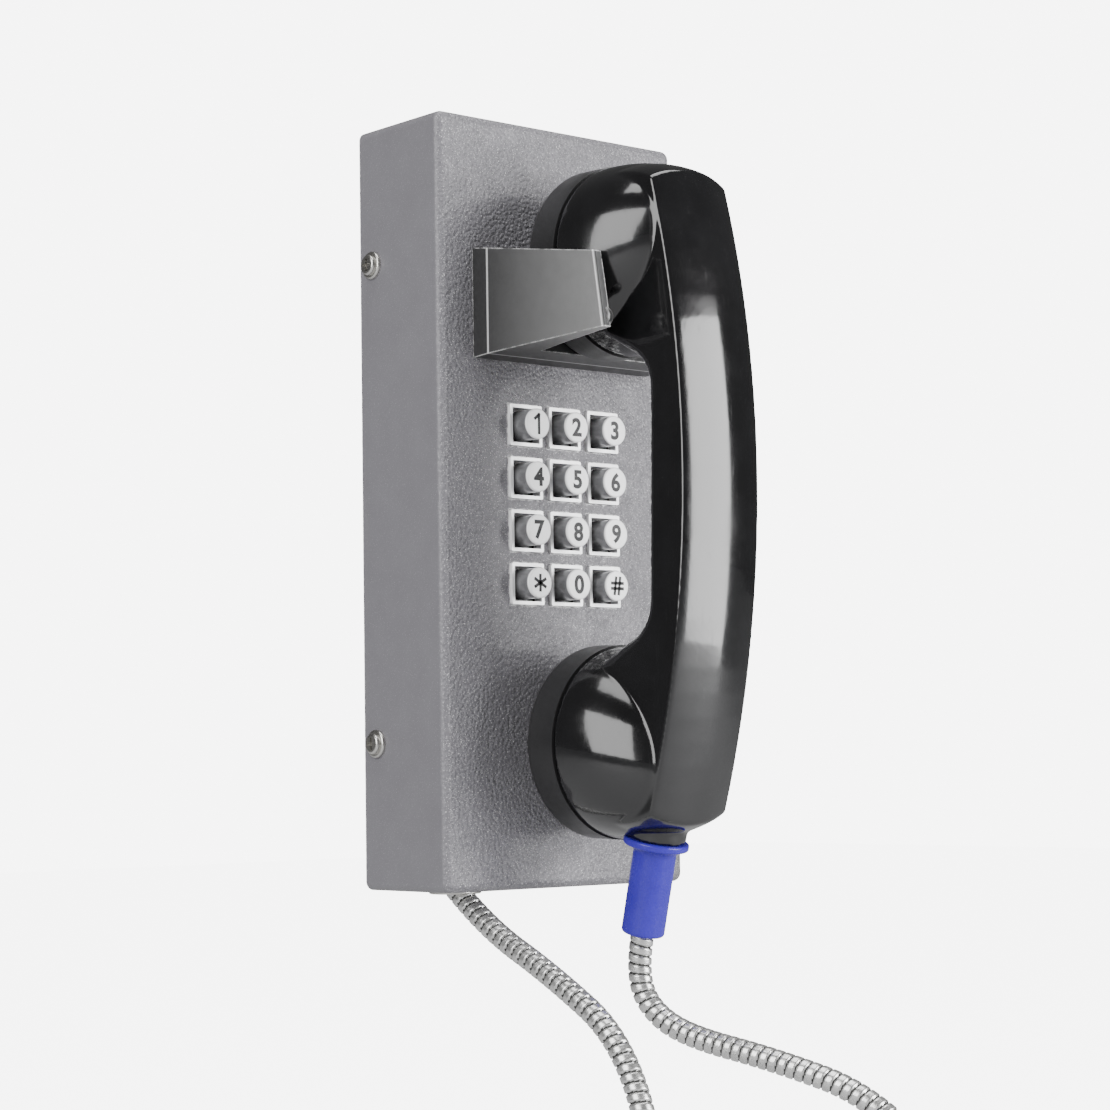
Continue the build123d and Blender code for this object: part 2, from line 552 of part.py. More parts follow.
def keypad_ribbon():
    """Flat cable from the keypad's board round to the main board."""
    t, half = 0.6, 8.0
    y0, y1 = keypad_back(), board_face()
    z_top, z_low = KEYPAD_MID_Z - FRAME_Z + 7, KEYPAD_MID_Z - FRAME_Z + 1
    turn_y, foot_z = y1 - 2, z_low - 16
    path = Polyline((y0, z_top), (y0 + t, z_top), (y0 + t, z_low - 4 + t), (turn_y, z_low - 10 + t),
                    (turn_y, foot_z), (y1, foot_z), (y1, foot_z - t), (turn_y - t, foot_z - t),
                    (turn_y - t, z_low - 10), (y0, z_low - 4), close=True)
    return Pos(4, 0, 0) * extrude(Plane.YZ * make_face(path), half, both=True)


# ---------------------------------------------------------------- cord outlet
def cord_bushing():
    """Threaded steel bushing through the bottom of the cover."""
    low = -HEIGHT / 2
    start = (OUTLET_X, OUTLET_Y, low)
    flange = rod(start, (0, 0, -1), BUSHING_FLANGE_R, BUSHING_FLANGE_T)
    flange = fillet(flange.edges().sort_by(Axis.Z)[0], 0.6)
    body = flange + rod(start, (0, 0, 1), BUSHING_R, BUSHING_TOP)
    return body - rod((OUTLET_X, OUTLET_Y, low - 5), (0, 0, 1), BUSHING_BORE_R, BUSHING_TOP + 10)


def bushing_nut():
    start = (OUTLET_X, OUTLET_Y, -INNER_Z)
    nut = hexagon(start, (0, 0, 1), BUSHING_NUT_R, BUSHING_NUT_T)
    return nut - rod(start, (0, 0, 1), BUSHING_R, BUSHING_NUT_T)


def cord_collet():
    """Crimped collar above the bushing that stops the cord being pulled out."""
    start = (OUTLET_X, OUTLET_Y, -HEIGHT / 2 + BUSHING_TOP)
    collet = rod(start, (0, 0, 1), BUSHING_R, COLLET_T)
    return fillet(collet.edges().sort_by(Axis.Z)[-1], 0.8) - rod(start, (0, 0, 1), 2.2, COLLET_T)


def handset_harness():
    """Sleeved wires from the cord's collar to the main board."""
    top = -HEIGHT / 2 + BUSHING_TOP + COLLET_T
    points = [(OUTLET_X, OUTLET_Y, top), (OUTLET_X, OUTLET_Y, top + 14), (-14, -20, top + 25),
              (10, -18.5, -84), (25, board_face() - 6, -74)]
    return tube(points, 1.8)


# ---------------------------------------------------------------- handset
def in_hand(shape):
    """Moves a shape from the handset's own frame to its place on the phone."""
    return Pos(0, HANDSET_Y, HANDSET_Z) * Rot(HANDSET_TILT, 0, 0) * shape


def disc(end, radius, depth0, depth1):
    """A cylinder on a cap's axis between two depths; end is 1 at the ear, -1 at the mouth."""
    return rod((0, -depth0, end * CAP_Z), (0, -1, 0), radius, depth1 - depth0)


def dome_loft(end, inset):
    """The leaning dome behind a cap, from circles that shrink towards the grip."""
    circles = []
    for depth, centre, radius in DOME:
        place = Plane(origin=(0, -depth, end * centre), x_dir=(1, 0, 0), z_dir=(0, -1, 0))
        circles.append(place * Circle(radius - inset))
    return loft(circles)


def back_envelope(reach, half, sagitta):
    """Solid under an arched back: its ridge is an arc, and it is crowned across by a sagitta."""
    axis_y = -reach + BACK_ARC
    crown_r = (half ** 2 + sagitta ** 2) / (2 * sagitta)
    drop = crown_r - math.sqrt(crown_r ** 2 - ENVELOPE_HALF ** 2)
    top = -reach - sagitta
    left, right, low = (-ENVELOPE_HALF, top + drop), (ENVELOPE_HALF, top + drop), ENVELOPE_FRONT
    edge = ThreePointArc(left, (0, top), right)
    outline = edge + Polyline(right, (ENVELOPE_HALF, low), (-ENVELOPE_HALF, low), left)
    hinge = Axis((0, axis_y, 0), (1, 0, 0))
    return revolve(make_face(outline).rotate(hinge, -ENVELOPE_SWING), hinge, 2 * ENVELOPE_SWING)


def grip_bar():
    """The bar with flat sides, necked in at both ends on the side that faces the panel."""
    rim, inner_z = -CAP_DEPTH - SEAM, NECK_Z - NECK_SLOPE
    outline = Polyline((rim, -CAP_Z), (rim, -NECK_Z), (-GRIP_INNER, -inner_z), (-GRIP_INNER, inner_z),
                       (rim, NECK_Z), (rim, CAP_Z), (-GRIP_STOCK, CAP_Z), (-GRIP_STOCK, -CAP_Z), close=True)
    face = make_face(outline)
    inner = [v for v in face.vertices() if abs(v.X + GRIP_INNER) < 0.01]
    face = fillet(inner, NECK_R)
    bar = extrude(Plane.YZ * face, GRIP_HALF, both=True)
    for end in (-1, 1):
        bar += grip_end(end)
    return bar


def grip_end(end):
    """The bar's end: it leans in towards the back, and keeps the caps' radius there."""
    circles = []
    for depth, top in GRIP_END:
        place = Plane(origin=(0, -depth, end * (top - CAP_R)), x_dir=(1, 0, 0), z_dir=(0, -1, 0))
        circles.append(place * Circle(CAP_R))
    near, far = GRIP_END[0][0], GRIP_END[-1][0]
    span = block(-GRIP_HALF, GRIP_HALF, -near, -far, end * (CAP_Z - 1), end * (CAP_Z + CAP_R + 2))
    return loft(circles) & span


def eased(solid):
    """The grip with the edges that fingers close round rounded off."""
    flats = [e for e in solid.edges() if e.geom_type in (GeomType.LINE, GeomType.CIRCLE)
             and abs(abs(e.center().X) - GRIP_HALF) < 0.1 and e.center().Y > -GRIP_INNER - 1
             and e.length < CAP_Z and abs(e.center().Z) < NECK_Z]
    return fillet(flats, INNER_EDGE_R)


def boot_axis():
    """Point and direction of the boot, in the phone's frame."""
    lean = math.radians(BOOT_LEAN)
    return Vector(0, BOOT_Y, BOOT_Z), Vector(0, math.sin(lean), -math.cos(lean))


def handset_shell():
    """One-piece moulded grip with a dome at each end and a spigot for each cap."""
    solid = grip_bar() + dome_loft(1, 0) + dome_loft(-1, 0)
    solid = eased(solid & back_envelope(GRIP_BACK, GRIP_HALF, CROWN))
    for end in (-1, 1):
        solid += disc(end, SPIGOT_R, CAP_DEPTH + SEAM - SPIGOT_LENGTH, CAP_DEPTH + SEAM + 1)
    hollow = dome_loft(1, DOME_WALL) + dome_loft(-1, DOME_WALL)
    for end in (-1, 1):
        hollow += disc(end, SPIGOT_BORE, 0, CAP_DEPTH + SEAM + 2)
    hollow &= back_envelope(GRIP_BACK - DOME_WALL, GRIP_HALF, CROWN)
    solid -= hollow
    solid -= wire_channel()
    shell = in_hand(solid)
    point, way = boot_axis()
    boss = rod(point - way * BOSS_LENGTH, way, BOSS_R, BOSS_LENGTH)
    shell += boss - in_hand(hollow)
    shell -= rod(point, way, BOOT_FLANGE_R + 0.4, 20)
    return shell - rod(point - way * 20, way, FERRULE_R, 30)


def wire_channel():
    """Curved passage for the wires, from dome to dome inside the grip."""
    outer = back_envelope(CHANNEL_OUT, GRIP_HALF, CROWN)
    inner = back_envelope(CHANNEL_IN, GRIP_HALF, CROWN)
    span = block(-CHANNEL_X, CHANNEL_X, -70, -20, -CAP_Z, CAP_Z)
    return (outer - inner) & span


def cap(end, rings):
    """Screw-on cap with its sound holes; it faces the panel."""
    shape = disc(end, CAP_R, 0, CAP_DEPTH)
    shape = fillet(shape.edges().sort_by(Axis.Y)[-1], CAP_EDGE_R)
    shape -= disc(end, CAP_R - CAP_WALL, CAP_FACE, CAP_DEPTH + 1)
    for ring_r, count in rings:
        for i in range(count):
            turn = 2 * math.pi * i / count
            place = (ring_r * math.cos(turn), 1, end * CAP_Z + ring_r * math.sin(turn))
            shape -= rod(place, (0, -1, 0), HOLE_R, CAP_FACE + 2)
    return in_hand(shape)


def capsule(end):
    """Receiver or microphone cartridge behind a cap, with its stepped rear can."""
    back = CAPSULE_FRONT + CAPSULE_T
    body = disc(end, CAPSULE_R, CAPSULE_FRONT, back)
    return in_hand(body + disc(end, CAPSULE_R - 9, back, back + 4))


def capsule_pads():
    """Soft rings between the capsules and the caps."""
    rings = []
    for end in (1, -1):
        ring = disc(end, CAPSULE_R, CAP_FACE, CAPSULE_FRONT) - disc(end, PAD_BORE, CAP_FACE, CAPSULE_FRONT)
        rings.append(in_hand(ring))
    return group(rings)


def handset_boot():
    """Flanged strain relief on the cord where it enters the handset."""
    point, way = boot_axis()
    flange = rod(point, way, BOOT_FLANGE_R, BOOT_FLANGE_T)
    flange = fillet(flange.edges(), 0.7)
    body = flange + rod(point, way, BOOT_R, BOOT_LENGTH)
    root = [e for e in body.edges().filter_by(GeomType.CIRCLE)
            if abs(e.radius - BOOT_R) < 0.01 and (e.arc_center - point).length < BOOT_FLANGE_T + 1]
    body = fillet(root, 2.0)
    tip = [e for e in body.edges().filter_by(GeomType.CIRCLE)
           if abs(e.radius - BOOT_R) < 0.01 and (e.arc_center - point).length > BOOT_LENGTH - 1]
    body = fillet(tip, 1.2)
    return body - rod(point - way, way, CORD_R, 16) - rod(point, way, CORD_R - 1, BOOT_LENGTH - 2)


def boot_ferrule():
    """Steel ferrule that is crimped on the cord's end inside the handset."""
    point, way = boot_axis()
    ferrule = rod(point - way * FERRULE_LENGTH, way, FERRULE_R, FERRULE_LENGTH)
    return ferrule - rod(point - way * FERRULE_LENGTH, way, 2.4, FERRULE_LENGTH)


# ---------------------------------------------------------------- cord
def tube(points, radius):
    """A round tube along straight runs joined by the largest arcs that the runs allow."""
    spots = [Vector(*p) for p in points]
    runs = [b - a for a, b in zip(spots, spots[1:])]
    radii = []
    for before, after in zip(runs, runs[1:]):
        turn = math.radians(before.get_angle(after))
        radii.append(BEND_SHARE * min(before.length, after.length) / math.tan(turn / 2))
    path = FilletPolyline(*spots, radius=radii)
    section = Plane(origin=path @ 0, z_dir=path % 0) * Circle(radius)
    print("radii", [round(r, 1) for r in radii], "length", round(path.length, 1))
    return sweep(section, path)


def armoured_cord():
    """Plain tube of the cord's outside; its last run lines up with the boot."""
    point, way = boot_axis()
    end = point + way * BOOT_LENGTH
    lead = end + way * CORD_LEAD
    return tube(CORD_ROUTE + [tuple(lead), tuple(end)], CORD_R)


def nodes():
    """Every node's name and its solid."""
    yield from {
        "front_cover": front_cover(), "back_plate": back_plate(), "cover_seal": cover_seal(),
        "side_screws": side_screws(), "screw_cups": screw_cups(), "threaded_inserts": threaded_inserts(),
        "line_grommet": line_grommet(), "cradle": cradle(), "cradle_screws": cradle_screws(),
        "hook_lever": hook_lever(), "lever_pin": lever_pin(), "lever_spring": lever_spring(),
        "hook_microswitch": hook_microswitch(), "switch_bracket": switch_bracket(),
        "bracket_nuts": bracket_nuts(), "switch_screws": switch_screws(),
        "keypad_frame": keypad_frame(), "key_guide": key_guide(), "key_mat": key_mat(),
        "keypad_spacers": keypad_spacers(), "keypad_board": keypad_board(), "keypad_nuts": keypad_nuts(),
        "main_board": main_board(), "board_screws": board_screws(), "board_parts": board_parts(),
        "terminal_block": terminal_block(), "keypad_ribbon": keypad_ribbon(),
        "cord_bushing": cord_bushing(), "bushing_nut": bushing_nut(), "cord_collet": cord_collet(),
        "handset_harness": handset_harness(), "handset_shell": handset_shell(),
        "ear_cap": cap(1, HOLE_RINGS), "mouth_cap": cap(-1, HOLE_RINGS[:2]),
        "receiver_capsule": capsule(1), "microphone_capsule": capsule(-1), "capsule_pads": capsule_pads(),
        "handset_boot": handset_boot(), "boot_ferrule": boot_ferrule(), "armoured_cord": armoured_cord(),
    }.items()
    for name, x, z in key_places():
        yield "key_" + name, key(x, z)


os.makedirs("parts", exist_ok=True)
for node, solid in nodes():
    export_step(solid, f"parts/{node}.step")
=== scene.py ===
import json
import math

import bmesh
import bpy
from mathutils import Matrix, Vector


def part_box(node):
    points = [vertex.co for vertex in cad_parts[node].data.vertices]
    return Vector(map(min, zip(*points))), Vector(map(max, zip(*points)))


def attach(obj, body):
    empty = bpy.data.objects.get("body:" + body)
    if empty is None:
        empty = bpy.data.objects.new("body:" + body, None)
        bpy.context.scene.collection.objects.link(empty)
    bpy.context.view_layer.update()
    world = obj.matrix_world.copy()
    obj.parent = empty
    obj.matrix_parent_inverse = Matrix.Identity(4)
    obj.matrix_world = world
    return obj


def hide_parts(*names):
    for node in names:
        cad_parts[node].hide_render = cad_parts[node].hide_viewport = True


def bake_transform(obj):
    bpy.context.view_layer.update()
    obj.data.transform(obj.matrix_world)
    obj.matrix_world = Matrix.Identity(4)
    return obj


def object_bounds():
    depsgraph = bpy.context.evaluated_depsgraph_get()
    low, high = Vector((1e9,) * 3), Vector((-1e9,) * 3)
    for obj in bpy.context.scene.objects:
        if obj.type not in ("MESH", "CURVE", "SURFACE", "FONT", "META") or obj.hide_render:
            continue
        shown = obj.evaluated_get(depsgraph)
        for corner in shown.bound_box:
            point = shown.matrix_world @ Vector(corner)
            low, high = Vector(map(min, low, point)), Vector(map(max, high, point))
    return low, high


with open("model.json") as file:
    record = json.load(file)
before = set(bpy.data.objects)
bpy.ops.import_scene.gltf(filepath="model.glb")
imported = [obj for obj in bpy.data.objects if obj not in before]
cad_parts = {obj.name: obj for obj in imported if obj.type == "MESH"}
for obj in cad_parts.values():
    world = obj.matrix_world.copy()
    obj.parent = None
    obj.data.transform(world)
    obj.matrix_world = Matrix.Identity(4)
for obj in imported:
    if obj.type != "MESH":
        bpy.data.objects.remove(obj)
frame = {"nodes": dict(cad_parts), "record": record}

CAD_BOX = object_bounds()
NODES = frame["nodes"]
MM = 0.001


# ---------------------------------------------------------------- camera
SENSOR_WIDE, LENS_LONG = 36.0, 86.8                      # mm
NEAREST, FARTHEST = 0.05, 20.0
CAMERA_SPOT = (-0.5733, -0.7050, -0.0846)
CAMERA_PITCH, CAMERA_ROLL, CAMERA_YAW = 4.4418, 0.8598, -40.6461


def camera():
    """Looks at the phone from the front left, a little from below."""
    data = bpy.data.cameras.new("camera")
    data.sensor_width, data.lens = SENSOR_WIDE, LENS_LONG
    data.clip_start, data.clip_end = NEAREST, FARTHEST
    cam = bpy.data.objects.new("camera", data)
    bpy.context.scene.collection.objects.link(cam)
    pitch, roll, yaw = (math.radians(a) for a in (CAMERA_PITCH, CAMERA_ROLL, CAMERA_YAW))
    turn = Matrix.Rotation(yaw, 3, "Z") @ Matrix.Rotation(pitch, 3, "X") @ Matrix.Rotation(roll, 3, "Y")
    across, ahead, up = (turn @ Vector(v) for v in ((1, 0, 0), (0, 1, 0), (0, 0, 1)))
    world = Matrix((across, up, -ahead)).transposed().to_4x4()
    world.translation = CAMERA_SPOT
    cam.matrix_world = world
    bpy.context.scene.camera = cam


camera()


# ---------------------------------------------------------------- mesh helpers
def add_mesh(name, verts, faces, smooth=True, sharp_over=None):
    """A new mesh object; with sharp_over, edges that turn by more than so many degrees are sharp."""
    mesh = bpy.data.meshes.new(name)
    mesh.from_pydata([tuple(v) for v in verts], [], faces)
    mesh.update()
    obj = bpy.data.objects.new(name, mesh)
    bpy.context.scene.collection.objects.link(obj)
    work = bmesh.new()
    work.from_mesh(mesh)
    bmesh.ops.recalc_face_normals(work, faces=work.faces)
    for face in work.faces:
        face.smooth = smooth
    if sharp_over is not None:
        for edge in work.edges:
            if len(edge.link_faces) == 2:
                edge.smooth = edge.calc_face_angle() < math.radians(sharp_over)
    work.to_mesh(mesh)
    work.free()
    return obj


def spline_points(points, samples):
    """Points along the smooth line that has the given control points."""
    curve = bpy.data.curves.new("route", "CURVE")
    curve.dimensions = "3D"
    curve.resolution_u = samples
    spline = curve.splines.new("NURBS")
    spline.points.add(len(points) - 1)
    for spot, place in zip(spline.points, points):
        spot.co = (*place, 1.0)
    spline.order_u = 3
    spline.use_endpoint_u = True
    holder = bpy.data.objects.new("route", curve)
    bpy.context.scene.collection.objects.link(holder)
    bpy.context.view_layer.update()
    mesh = bpy.data.meshes.new_from_object(holder.evaluated_get(bpy.context.evaluated_depsgraph_get()))
    line = [v.co.copy() for v in mesh.vertices]
    bpy.data.objects.remove(holder)
    bpy.data.curves.remove(curve)
    bpy.data.meshes.remove(mesh)
    return line


def spaced(line, step):
    """The line again as evenly spaced points about a step apart, both ends kept, and their spacing."""
    lengths = [0.0]
    for a, b in zip(line, line[1:]):
        lengths.append(lengths[-1] + (b - a).length)
    count = max(2, round(lengths[-1] / step))
    out, at = [], 0
    for i in range(count + 1):
        want = lengths[-1] * i / count
        while at < len(line) - 2 and lengths[at + 1] < want:
            at += 1
        span = lengths[at + 1] - lengths[at]
        out.append(line[at].lerp(line[at + 1], (want - lengths[at]) / span if span else 0.0))
    return out, lengths[-1] / count


def frames_along(line):
    """A point, a side and an up direction at each point of the line, turning as little as possible."""
    ways = []
    for i in range(len(line)):
        ways.append((line[min(i + 1, len(line) - 1)] - line[max(i - 1, 0)]).normalized())
    side = ways[0].orthogonal().normalized()
    out = []
    for spot, way in zip(line, ways):
        side = (side - way * side.dot(way)).normalized()
        out.append((spot, side, way.cross(side)))
    return out


# ---------------------------------------------------------------- armoured cord
CORD_D = 7.5 * MM
CORD_PITCH = 3.1 * MM            # one turn of the armour's strip
CORD_AROUND, CORD_PER_TURN = 32, 12
ROUTE_SAMPLES = 40               # points on the smooth line for each control point
SLOT_SHARE = 0.17                # of a turn that is the slot between two turns
RISE_SHARE = 0.14                # of a turn that the strip takes to roll up out of the slot
FALL_SHARE = RISE_SHARE * 0.7    # and to roll down into the next
CROWN, SLOT_FLOOR = 0.5, 0.41    # radius on the crown and down in the slot, in cord diameters
RISE_FROM, FALL_TO = SLOT_FLOOR + 0.012, SLOT_FLOOR + 0.03
STRIP_EDGE = 55                  # degrees; sharper edges of the strip stay sharp
CORD_ROUTE = [(x * MM, y * MM, z * MM) for x, y, z in (
    (-32, -22, -124), (-29.5, -35, -136.5), (-27, -64, -150.5), (-23.5, -93, -169), (-24, -108, -205),
    (-30, -106, -248), (-32, -100, -295), (-18, -104, -338), (14, -128, -356), (44, -156, -336),
    (56, -175, -295), (53, -180, -250), (41, -170, -214), (28, -148, -186), (15, -119, -176), (5, -91, -170),
    (1, -78.3, -162), (0, -73.9, -150.3), (0, -76.8, -138.7))]


def armour_radius(turn):
    """Outer radius of the interlocked strip over one turn: a flat crown that rolls down into a slot."""
    turn %= 1.0
    if turn < SLOT_SHARE:
        return CORD_D * SLOT_FLOOR
    if turn < SLOT_SHARE + RISE_SHARE:
        rise = (turn - SLOT_SHARE) / RISE_SHARE
        return CORD_D * (RISE_FROM + (CROWN - RISE_FROM) * math.sin(rise * math.pi / 2))
    if turn > 1 - FALL_SHARE:
        fall = (1 - turn) / FALL_SHARE
        return CORD_D * (FALL_TO + (CROWN - FALL_TO) * math.sin(fall * math.pi / 2))
    return CORD_D * CROWN


def armoured_cord():
    """The strip-wound steel armour, as one tube with the strip's profile wound round it."""
    line, step = spaced(spline_points(CORD_ROUTE, ROUTE_SAMPLES), CORD_PITCH / CORD_PER_TURN)
    verts, faces, in_slot = [], [], []
    rings = frames_along(line)
    n = CORD_AROUND
    for i, (spot, side, up) in enumerate(rings):
        for j in range(n):
            angle = 2 * math.pi * j / n
            radius = armour_radius(i * step / CORD_PITCH + j / n)
            verts.append(spot + (side * math.cos(angle) + up * math.sin(angle)) * radius)
    for i in range(len(rings) - 1):
        for j in range(n):
            k = (j + 1) % n
            faces.append((i * n + j, i * n + k, (i + 1) * n + k, (i + 1) * n + j))
            in_slot.append(((i + 0.5) * step / CORD_PITCH + (j + 0.5) / n) % 1.0 < SLOT_SHARE)
    last = (len(rings) - 1) * n
    faces.append(tuple(range(n)))
    faces.append(tuple(last + j for j in range(n)))
    cord = add_mesh("armoured_cord_strip", verts, faces, sharp_over=STRIP_EDGE)
    # faces in the slot take the second material, painted shade
    for face, dark in zip(cord.data.polygons, in_slot):
        face.material_index = int(dark)
    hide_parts("armoured_cord")
    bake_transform(cord)
    return cord


CORD = armoured_cord()


# ---------------------------------------------------------------- materials
COLOR_A, COLOR_B, COLOR_OUT = 6, 7, 2    # the Mix node's sockets for colours
SHARE_IN, FLOAT_A, FLOAT_B = 0, 2, 3     # and for plain numbers


class Finish:
    """A node material round one Principled shader, with short calls for the usual textures."""

    def __init__(self, name, **sockets):
        self.material = bpy.data.materials.new(name)
        self.material.use_nodes = True
        self.tree = self.material.node_tree
        self.shader = self.tree.nodes["Principled BSDF"]
        for socket, value in sockets.items():
            self.set(socket.replace("_", " "), value)
        self.place = self.tree.nodes.new("ShaderNodeTexCoord").outputs["Object"]
        self.normal = None

    def set(self, socket, value):
        self.shader.inputs[socket].default_value = value

    def feed(self, socket, value):
        self.tree.links.new(value, self.shader.inputs[socket])

    def node(self, kind, inputs=(), **settings):
        made = self.tree.nodes.new(kind)
        for key, value in settings.items():
            setattr(made, key, value)
        for key, value in dict(inputs).items():
            if isinstance(value, bpy.types.NodeSocket):
                self.tree.links.new(value, made.inputs[key])
            else:
                made.inputs[key].default_value = value
        return made

    def stretched(self, scale):
        """Object coordinates in metres, times a scale for each axis."""
        return self.node("ShaderNodeMapping", {"Vector": self.place, "Scale": scale}).outputs["Vector"]

    def noise(self, per_metre, detail=2.0, roughness=0.5, distortion=0.0, place=None):
        return self.node("ShaderNodeTexNoise", {
            "Vector": place or self.place, "Scale": per_metre, "Detail": detail,
            "Roughness": roughness, "Distortion": distortion}).outputs["Fac"]

    def cells(self, per_metre, smooth):
        return self.node("ShaderNodeTexVoronoi", {
            "Vector": self.place, "Scale": per_metre, "Smoothness": smooth},
            feature="SMOOTH_F1").outputs["Distance"]

    def math(self, operation, a, b=0.0):
        made = self.node("ShaderNodeMath", operation=operation)
        for socket, value in zip(made.inputs, (a, b)):
            if isinstance(value, bpy.types.NodeSocket):
                self.tree.links.new(value, socket)
            else:
                socket.default_value = value
        return made.outputs["Value"]

    def span(self, value, low, high, to_low=0.0, to_high=1.0):
        """The value from low to high, carried over to to_low to to_high and held there."""
        return self.node("ShaderNodeMapRange", {
            "Value": value, "From Min": low, "From Max": high, "To Min": to_low, "To Max": to_high}
            ).outputs["Result"]

    def axis(self, letter):
        return self.node("ShaderNodeSeparateXYZ", {"Vector": self.place}).outputs[letter]

    def mix(self, share, a, b):
        made = self.node("ShaderNodeMix", {"Factor": share}, data_type="RGBA")
        for socket, value in zip((made.inputs[COLOR_A], made.inputs[COLOR_B]), (a, b)):
            if isinstance(value, bpy.types.NodeSocket):
                self.tree.links.new(value, socket)
            else:
                socket.default_value = (*value, 1.0)
        return made.outputs[COLOR_OUT]

    def bump(self, height, depth):
        """Adds relief; depth is how far the height's whole range stands up, in metres."""
        inputs = {"Height": height, "Distance": depth, "Strength": 1.0}
        if self.normal is not None:
            inputs["Normal"] = self.normal
        self.normal = self.node("ShaderNodeBump", inputs).outputs["Normal"]
        self.feed("Normal", self.normal)

    def edge_mask(self, width):
        """1 on edges and corners, 0 on flats."""
        bevel = self.node("ShaderNodeBevel", {"Radius": width}, samples=6)
        geometry = self.node("ShaderNodeNewGeometry")
        dot = self.node("ShaderNodeVectorMath", {0: bevel.outputs[0], 1: geometry.outputs["Normal"]},
                        operation="DOT_PRODUCT").outputs["Value"]
        return self.span(dot, 0.995, 0.90)


def hammertone():
    """Grey hammer-finish powder coat: pebbled on the face, flatter on the sides, with bright specks painted
    as glints and a patchy painted highlight along the bends.
    """
    f = Finish("hammertone_grey", Metallic=0.1, Coat_Weight=0.12, Coat_Roughness=0.16,
               Specular_IOR_Level=0.32)
    side_ends, face_starts = -40.0 * MM, -41.8 * MM
    dark_grey, pale_grey = (0.160, 0.155, 0.169), (0.170, 0.166, 0.180)
    painted_glint_grey, bright_edge_grey = (0.70, 0.70, 0.70), (0.95, 0.95, 0.95)
    pebbles = f.cells(820.0, 0.45)
    ripple = f.noise(1500.0)
    clumps = f.noise(95.0)
    face = f.span(f.axis("Y"), side_ends, face_starts)
    height = f.math("SUBTRACT", f.math("MULTIPLY", ripple, 0.5), pebbles)
    patchy = f.math("MULTIPLY", height, f.span(clumps, 0.35, 0.65, 0.6, 1.15))
    f.bump(f.math("MULTIPLY", patchy, f.span(face, 0.0, 1.0, 0.06, 1.0)), 0.6 * MM)
    tone = f.mix(f.span(clumps, 0.3, 0.7), dark_grey, pale_grey)
    # painted glints: bright grey specks, more of them on the face than on the sides
    glint_noise = f.noise(2900.0, 1.0)
    painted_glints = f.math("MULTIPLY", f.span(glint_noise, 0.655, 0.71), f.span(face, 0.0, 1.0, 0.2, 0.9))
    color = f.mix(painted_glints, tone, painted_glint_grey)
    # painted highlight: a patchy bright line along the bends and edges
    bright_edges = f.math("MULTIPLY", f.edge_mask(0.9 * MM), f.span(f.noise(520.0, 3.0), 0.38, 0.56))
    f.feed("Base Color", f.mix(f.math("MULTIPLY", bright_edges, 0.9), color, bright_edge_grey))
    f.feed("Roughness", f.span(f.noise(900.0, 3.0), 0.3, 0.7, 0.34, 0.46))
    return f.material


def brushed(name, color, roughness, along="Z", grain=4200.0, metallic=1.0, spread=0.09):
    """Metal with a fine grain along one axis, a little stain and bright worn edges."""
    f = Finish(name, Metallic=metallic)
    drawn_out = 0.03             # scale along the grain, so that its lines run long
    scale = {axis: drawn_out if axis == along else 1.0 for axis in "XYZ"}
    lines = f.noise(grain, roughness=0.6, place=f.stretched(tuple(scale.values())))
    stain = f.noise(120.0, 4.0)
    grained = f.span(lines, 0.25, 0.75, roughness - spread / 2, roughness + spread / 2)
    f.feed("Roughness", f.math("ADD", grained, f.span(stain, 0.4, 0.75, 0.0, 0.07)))
    dark = tuple(c * 0.84 for c in color)
    tone = f.mix(f.span(stain, 0.35, 0.7), color, dark)
    bright = tuple(min(1.0, c * 1.25 + 0.05) for c in color)
    f.feed("Base Color", f.mix(f.math("MULTIPLY", f.edge_mask(0.4 * MM), 0.6), tone, bright))
    f.bump(lines, 0.01 * MM)
    return f.material


def cradle_metal():
    """Satin grey casting with painted light: painted shade on the root strip behind a painted highlight
    line, painted light paling towards the horns' tips, and painted shade on the ends.
    """
    f = Finish("cradle_satin_grey", Metallic=0.55)
    root_ends, highlight_line_at, tip = -49.2 * MM, 49.4 * MM, -104.0 * MM
    painted_shade_near_grey, painted_lit_tip_grey, painted_root_shade_grey = (0.055, 0.055, 0.056), (0.34, 0.34, 0.34), (0.045, 0.045, 0.046)
    painted_highlight_line_grey, painted_end_shade_grey, spot_grey = (0.85, 0.85, 0.85), (0.05, 0.05, 0.051), (0.19, 0.19, 0.19)
    bright_edge_grey = (0.80, 0.80, 0.80)
    reach = f.axis("Y")
    # painted shade on the root strip, then painted light paling along the horns towards the tips
    root_shade = f.span(reach, root_ends - 0.8 * MM, root_ends)
    tone = f.mix(f.span(reach, root_ends + 0.2 * MM, tip), painted_shade_near_grey, painted_lit_tip_grey)
    tone = f.mix(f.math("MULTIPLY", root_shade, 0.75), tone, painted_root_shade_grey)
    # painted highlight: a bright line where the root strip meets the face
    line = f.span(f.math("ABSOLUTE", f.math("ADD", reach, highlight_line_at)), 0.5 * MM, 0.2 * MM)
    tone = f.mix(f.math("MULTIPLY", line, 0.8), tone, painted_highlight_line_grey)
    # painted shade on the faces that point forward, the horns' ends
    faces = f.node("ShaderNodeSeparateXYZ", {"Vector": f.node("ShaderNodeNewGeometry").outputs["Normal"]})
    tone = f.mix(f.span(faces.outputs["Y"], -0.75, -0.9), tone, painted_end_shade_grey)
    mottle = f.noise(700.0, 4.0, 0.6)
    tone = f.mix(f.span(mottle, 0.3, 0.75, 0.0, 0.08), tone, spot_grey)
    bright_edges = f.math("MULTIPLY", f.edge_mask(0.7 * MM), f.span(f.noise(400.0), 0.3, 0.6))
    f.feed("Base Color", f.mix(bright_edges, tone, bright_edge_grey))
    f.feed("Roughness", f.span(f.noise(260.0, 3.0), 0.3, 0.7, 0.34, 0.39))
    f.bump(f.noise(2600.0, 3.0, 0.6), 0.012 * MM)
    return f.material


